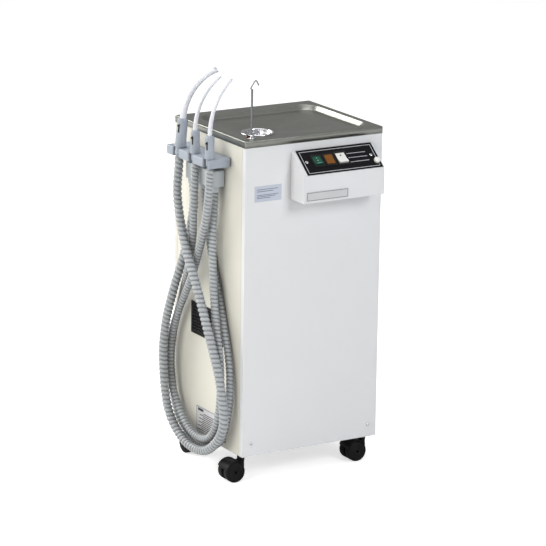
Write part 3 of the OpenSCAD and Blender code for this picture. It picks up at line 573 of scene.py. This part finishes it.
def on_label(x, y, z):
    """A point on the front label: x across, y up, z outwards."""
    return at(x, -HALF_D - LABEL_OUT - z, y)


def on_rating_plate(x, y, z):
    """A point on the rating plate low on the left side: x to the back, y up, z outwards."""
    return at(-HALF_W - RATING_OUT - z, x, y)


name_frame = Shape()
frame_lines(name_frame, on_name_plate, (-54.8, 54.8, 679.2, 697.8), 0.9, 0.0, 0.1)
name_frame.piece("name_plate_frame", "cabinet", DARK_INK, "black_plastic", smooth=False)

label_lines = Shape()
for y, x0, x1 in LABEL_RULES:
    label_lines.block(on_label, (x0, y, 0), (x1, y + 1.4, 0.06))
label_lines.piece("front_label_rules", "cabinet", INK, "label_film", smooth=False)

Shape().block(on_rating_plate, (-45.5, 72.5, 0), (51.5, 135.5, 0.05)).piece(
    "rating_plate_sheet", "cabinet", MATERIALS["plate_metal"], "plate_metal", smooth=False)
rating_lines = Shape()
frame_lines(rating_lines, on_rating_plate, (-44.5, 50.5, 73.5, 134.5), 1.1, 0.05, 0.11)
for k in range(RATING_RULES):
    y = 78 + k * RATING_STEP
    rating_lines.block(on_rating_plate, (-40, y, 0.05), (47 - (k * 17) % 31, y + 2, 0.11))
rating_lines.block(on_rating_plate, (18, 125, 0.05), (44, 131, 0.11))
rating_lines.piece("rating_plate_rules", "cabinet", DARK_INK, "label_film", smooth=False)

studs = Shape()
for y, z in STUDS:
    studs.loft([[at(-HALF_W - out, y + u, z + v) for u, v in circle(r, 20)] for r, out in STUD_SECTION])
studs.piece("side_studs", "cabinet", MATERIALS["black_plastic"], "black_plastic")

# ---- Suction tips ----

TIP_R = (8.0, 5.5, 5.5)
TIP_END_R = (6.0, 3.6, 3.6)
TIP_WALL = 1.2
TIP_FLARE = (1.2, 0.0, 0.0)
TIP_SLANT = (0.9, 0.25, 0.25)
BEND_R = (124.0, 143.0, 172.0)
BEND = (69.0, 58.0, 48.0)
SOCKET_DEPTH = 13.5
SOCKET_STEPS = 6
BEND_STEPS = 48
TIP_SIDES = 28
VALVE_TURN = math.radians(22)


def tip(i):
    """A bent, tapering tube with a slanted mouth, hollow all the way."""
    top_z = HAND_TOP[i] - HAND_CAP
    centre = []
    for k in range(SOCKET_STEPS):
        centre.append(on_hand(i, 0, 0, top_z - SOCKET_DEPTH + k * SOCKET_DEPTH / SOCKET_STEPS))
    for k in range(BEND_STEPS + 1):
        a = math.radians(BEND[i]) * k / BEND_STEPS
        centre.append(on_hand(i, BEND_R[i] * (1 - math.cos(a)), 0, top_z + BEND_R[i] * math.sin(a)))

    def radius(wall):
        """The radius along the tube: tapering, and flared near the mouth of the large tip."""
        def r(k, angle):
            share = max(0.0, (k - SOCKET_STEPS) / BEND_STEPS)
            flare = TIP_FLARE[i] * max(0.0, (share - 0.9) / 0.1)
            return (TIP_R[i] + (TIP_END_R[i] - TIP_R[i]) * share ** 0.8 + flare - wall) * MM
        return r

    outer = swept_rings(centre, radius(0.05), TIP_SIDES)
    inner = swept_rings(centre, radius(TIP_WALL), TIP_SIDES)
    along = (centre[-1] - centre[-2]).normalized()
    up = on_hand(i, 0, 0, 1) - on_hand(i, 0, 0, 0)
    across = (up - along * up.dot(along)).normalized()
    for rings in (outer, inner):
        rings[-1] = [p - along * max(0.0, (p - centre[-1]).dot(across) + 4 * MM) * TIP_SLANT[i]
                     for p in rings[-1]]
    Shape().loft(outer + inner[::-1], closed=True).piece(
        f"tip_tube_{i + 1}", f"handpiece_{i + 1}_body", MATERIALS["tip_white"], "tip_white",
        [f"suction_tip_{i + 1}"])


def valve_slot(i):
    """A thin black sheet just inside a handpiece's valve slot, which is turned towards the front: painted
    shade in the slot.
    """
    top_z, grip = HAND_TOP[i] - HAND_CAP, GRIP_R[i]
    c, s = math.cos(VALVE_TURN), math.sin(VALVE_TURN)
    slot_shade_sheet = Shape().block(lambda x, y, z: on_hand(i, x * c - y * s, x * s + y * c, z),
                          (-grip + 1.2, -2.1, top_z - 32.8), (-grip + 1.9, 2.1, top_z - 13.2))
    slot_shade_sheet.piece(f"valve_slot_{i + 1}", f"handpiece_{i + 1}_body", MATERIALS["black_plastic"],
                "black_plastic", smooth=False)


for i in range(3):
    tip(i)
for i in range(3):
    valve_slot(i)

# ---- Hoses: ribbed tubes from the handpieces to the manifold ----

HOSE_R = (11.0, 9.5, 9.5)
HOSE_PITCH = (11.0, 9.2, 9.2)
HOSE_TOP = 746.0
HOSE_END = 690.0
# Height of each hose's second guide point, just below its handpiece's foot
FOOT_END = 725.5
PORT_X = -203
PORT_Y = (43, -8, -59)
# Guide points of each hose: down from its handpiece, round the bottom and up to its port
HOSE_PATHS = (
    ((HAND_X - 3, 52, HOSE_TOP), (HAND_X - 4, 52, FOOT_END), (-242, 50, 650), (-247, 5, 550),
     (-244, -50, 455), (-240, -102, 350), (-231, -142, 235), (-226, -144, 135), (-226, -70, 62),
     (-228, 28, 56), (-233, 102, 112), (-238, 122, 225), (-239, 112, 320), (-233, 85, 415),
     (-214, 60, 520), (PORT_X, PORT_Y[0], 620), (PORT_X, PORT_Y[0], HOSE_END)),
    ((HAND_X, -18, HOSE_TOP), (HAND_X, -18, FOOT_END), (-235, -15, 650), (-226, 5, 560),
     (-216, 45, 470), (-203, 100, 385), (-200, 142, 290), (-200, 150, 205), (-201, 116, 102),
     (-202, 20, 56), (-202, -84, 80), (-199, -122, 165), (-196, -122, 270), (-195.5, -86, 385),
     (-195.5, -46, 490), (-198, -14, 600), (PORT_X, PORT_Y[1], HOSE_END)),
    ((HAND_X, -86, HOSE_TOP), (HAND_X, -86, FOOT_END), (-234, -74, 640), (-227, -33, 550),
     (-217, 28, 455), (-216, 90, 360), (-216, 128, 270), (-213.5, 124, 172), (-212, 40, 84),
     (-212, -52, 84), (-214, -104, 160), (-216, -113, 280), (-217, -90, 385), (-217, -76, 490),
     (-210, -63, 600), (PORT_X, PORT_Y[2], HOSE_END)))
HOSE_SIDES = 28
HOSE_SLACK = 0.1
RIB_STEPS = 10
RIB_DEPTH = (2.2, 1.9, 1.9)
GROOVE_POWER = 2.6
PLAIN_STEPS = 4
# Share of a hose's length that belongs to its upper piece
SPLIT = 0.24


def hose(i):
    """A hose in two pieces: the upper one stretches between its handpiece and the cabinet."""
    path = [at(*p) for p in HOSE_PATHS[i]]
    length = smooth_line(path, 50)[1] / MM
    count = int(length / HOSE_PITCH[i] * RIB_STEPS)
    line = smooth_line(path, count)[0]
    split = int(count * SPLIT)

    def groove(k, angle):
        """How deep the groove is here: 0 on a rib, 1 in the groove's floor."""
        wave = 0.5 - 0.5 * math.cos(math.tau * k / RIB_STEPS + angle)
        return (wave ** GROOVE_POWER) * min(1.0, k / PLAIN_STEPS, (count - k) / PLAIN_STEPS)

    def radius(k, angle):
        return (HOSE_R[i] - HOSE_SLACK - RIB_DEPTH[i] * groove(k, angle)) * MM

    rings = swept_rings(line, radius, HOSE_SIDES, Vector((1, 0, 0)))
    for name, first, last, body in (("upper", 0, split, None), ("lower", split, count, "cabinet")):
        part = Shape().loft(rings[first:last + 1]).piece(
            f"hose_{i + 1}_{name}", body, MATERIALS["hose_grey"], "hose_grey",
            [f"hose_{i + 1}"] if name == "upper" else ())
        depths = part.data.attributes.new("groove", "FLOAT", "POINT")
        depths.data.foreach_set("value", [groove(k, math.tau * n / HOSE_SIDES)
                                          for k in range(first, last + 1) for n in range(HOSE_SIDES)])
        if name == "upper":
            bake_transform(part)


for i in range(3):
    hose(i)

# ---- Castor wheels ----

WHEEL_Z = 25
TRAIL = 25
AXLE_R = 4
AXLE_HALF = 7
WHEEL_OUT = 4.9
# Half a wheel's section, from the axle outwards and over the tread: (radius, distance outwards)
WHEEL_SECTION = [(3.9, -0.4), (6.5, 0.2), (23.2, 0.2), (24.4, 0.7), (25, 2.0), (25, 14.2), (24.5, 15.8),
                 (23.2, 16.7), (21.6, 17.0), (21.0, 16.2), (20.2, 16.0), (19.6, 16.8), (14, 17.6),
                 (9, 18.2), (8.4, 17.4), (7.6, 17.4), (7.0, 18.3), (3.9, 18.4)]
AXLE_SECTION = [(0.01, -AXLE_HALF), (AXLE_R, -AXLE_HALF), (AXLE_R, AXLE_HALF), (0.01, AXLE_HALF)]
# Each castor's stem, and the direction it rests in
CASTORS = {"front_left": (-168, -130, 0), "front_right": (168, -130, 0), "rear_left": (-168, 130, 90),
           "rear_right": (168, 130, 0)}
for corner, (x, y, turn) in CASTORS.items():
    c, s = math.cos(math.radians(turn)), math.sin(math.radians(turn))

    def on_castor(u, v, w, x=x, y=y, c=c, s=s):
        """A point on a castor: u along its trail, v across it along the axle, w up from the axle."""
        return at(x + (u - TRAIL) * c - v * s, y + (u - TRAIL) * s + v * c, WHEEL_Z + w)

    pair = Shape()
    for side in (-1, 1):
        pair.lathe(WHEEL_SECTION, lambda u, v, w, side=side: on_castor(u, side * (WHEEL_OUT + w), v), 56)
    pair.lathe(AXLE_SECTION, lambda u, v, w: on_castor(u, w, v), 24)
    pair.piece(f"wheel_pair_{corner}", f"wheels_{corner}", TYRE, "castor_black", [f"castor_wheels_{corner}"])

# ---- Floor, light and camera ----

FLOOR_GLOW = 0.6
FLOOR_HALF = 14.0
SKY_STRENGTH = 0.62
# The studio's brightness by height: 0 is straight down, 0.5 level and 1 straight up
SKY = ((0.0, 0.30), (1.0, 0.9), (0.47, 0.34), (0.56, 0.40), (0.64, 0.58), (0.74, 0.45), (0.85, 0.5))

floor_mesh = bpy.data.meshes.new("floor")
floor_corners = [(x * FLOOR_HALF, y * FLOOR_HALF, 0) for x, y in ((-1, -1), (1, -1), (1, 1), (-1, 1))]
floor_mesh.from_pydata(floor_corners, [], [(0, 1, 2, 3)])
floor_look = surface("floor_pale", (240, 240, 240), 0.6, spread=0.01, patch=2, grain=60, bump=0.03,
                     shine=0.2)
floor_nodes, floor_link = floor_look.node_tree.nodes, floor_look.node_tree.links.new
glow = floor_nodes.new("ShaderNodeEmission")
glow.inputs["Strength"].default_value = FLOOR_GLOW
lit = floor_nodes.new("ShaderNodeAddShader")
floor_link(floor_nodes["Principled BSDF"].outputs["BSDF"], lit.inputs[0])
floor_link(glow.outputs["Emission"], lit.inputs[1])
eye = floor_nodes.new("ShaderNodeLightPath")
pick = floor_nodes.new("ShaderNodeMixShader")
floor_link(eye.outputs["Is Camera Ray"], pick.inputs["Fac"])
floor_link(floor_nodes["Principled BSDF"].outputs["BSDF"], pick.inputs[1])
floor_link(lit.outputs["Shader"], pick.inputs[2])
floor_link(pick.outputs["Shader"], floor_nodes["Material Output"].inputs["Surface"])
floor_mesh.materials.append(floor_look)
floor = bpy.data.objects.new("floor", floor_mesh)
bpy.context.scene.collection.objects.link(floor)

bpy.context.scene.view_settings.view_transform = "Standard"
world = bpy.data.worlds.new("studio")
bpy.context.scene.world = world
world.use_nodes = True
nodes, link = world.node_tree.nodes, world.node_tree.links.new
background = nodes["Background"]
backdrop = nodes.new("ShaderNodeBackground")
backdrop.inputs["Color"].default_value = (1, 1, 1, 1)
backdrop.inputs["Strength"].default_value = 1.0
direction = nodes.new("ShaderNodeTexCoord")
split_axes = nodes.new("ShaderNodeSeparateXYZ")
link(direction.outputs["Generated"], split_axes.inputs["Vector"])
height = nodes.new("ShaderNodeValToRGB")
ramp = height.color_ramp
for k, (position, brightness) in enumerate(SKY):
    step = ramp.elements[k] if k < 2 else ramp.elements.new(position)
    step.position = position
    step.color = (brightness, brightness, brightness, 1)
up_share = nodes.new("ShaderNodeMapRange")
up_share.inputs["From Min"].default_value = -1
link(split_axes.outputs["Z"], up_share.inputs["Value"])
link(up_share.outputs["Result"], height.inputs["Fac"])
link(height.outputs["Color"], background.inputs["Color"])
background.inputs["Strength"].default_value = SKY_STRENGTH
seen = nodes.new("ShaderNodeLightPath")
choose = nodes.new("ShaderNodeMixShader")
link(seen.outputs["Is Camera Ray"], choose.inputs["Fac"])
link(background.outputs["Background"], choose.inputs[1])
link(backdrop.outputs["Background"], choose.inputs[2])
link(choose.outputs["Shader"], nodes["World Output"].inputs["Surface"])


def soft_light(name, place, target, wide, power, colour=(1, 1, 1)):
    """A rectangular lamp at a place, turned to a target; its sides are in metres."""
    light = bpy.data.lights.new(name, "AREA")
    light.color = colour
    light.shape = "RECTANGLE"
    light.size, light.size_y = wide
    light.energy = power
    lamp = bpy.data.objects.new(name, light)
    lamp.location = place
    lamp.rotation_euler = (Vector(target) - Vector(place)).to_track_quat("-Z", "Y").to_euler()
    bpy.context.scene.collection.objects.link(lamp)


soft_light("key", (0.7, -3.6, 2.7), (0, 0, 0.5), (1.3, 1.3), 62, (0.97, 0.98, 1.0))
soft_light("rear_left", (-2.1, 3.1, 2.5), (0, 0, 0.5), (2.8, 1.6), 125, (1.0, 0.98, 0.94))
soft_light("side", (-3.3, -1.3, 1.6), (0, 0, 0.45), (1.9, 1.6), 40, (1.0, 0.96, 0.87))
soft_light("left", (-3.4, 0.9, 1.8), (0, 0, 0.6), (2.4, 1.5), 18, (1.0, 0.97, 0.9))
soft_light("top", (-0.4, 0.2, 4.2), (0, 0, 0.5), (2.6, 2.6), 42)

AZIMUTH, ELEVATION, ROLL = math.radians(30.975), math.radians(14.945), math.radians(0.823)
CAMERA_AT = at(-3745.6, -6225.4, 2388.5)
LENS = 208.5
flat = math.cos(ELEVATION)
back = Vector((-math.sin(AZIMUTH) * flat, -math.cos(AZIMUTH) * flat, math.sin(ELEVATION)))
level = (-back).cross(Vector((0, 0, 1))).normalized()
upright = level.cross(-back)
right = math.cos(ROLL) * level + math.sin(ROLL) * upright
up = -math.sin(ROLL) * level + math.cos(ROLL) * upright
camera = bpy.data.objects.new("camera", bpy.data.cameras.new("camera"))
camera.matrix_world = Matrix((right, up, back)).transposed().to_4x4()
camera.location = CAMERA_AT
camera.data.lens = LENS
camera.data.sensor_width = 36
camera.data.clip_end = 60
bpy.context.scene.collection.objects.link(camera)
bpy.context.scene.camera = camera
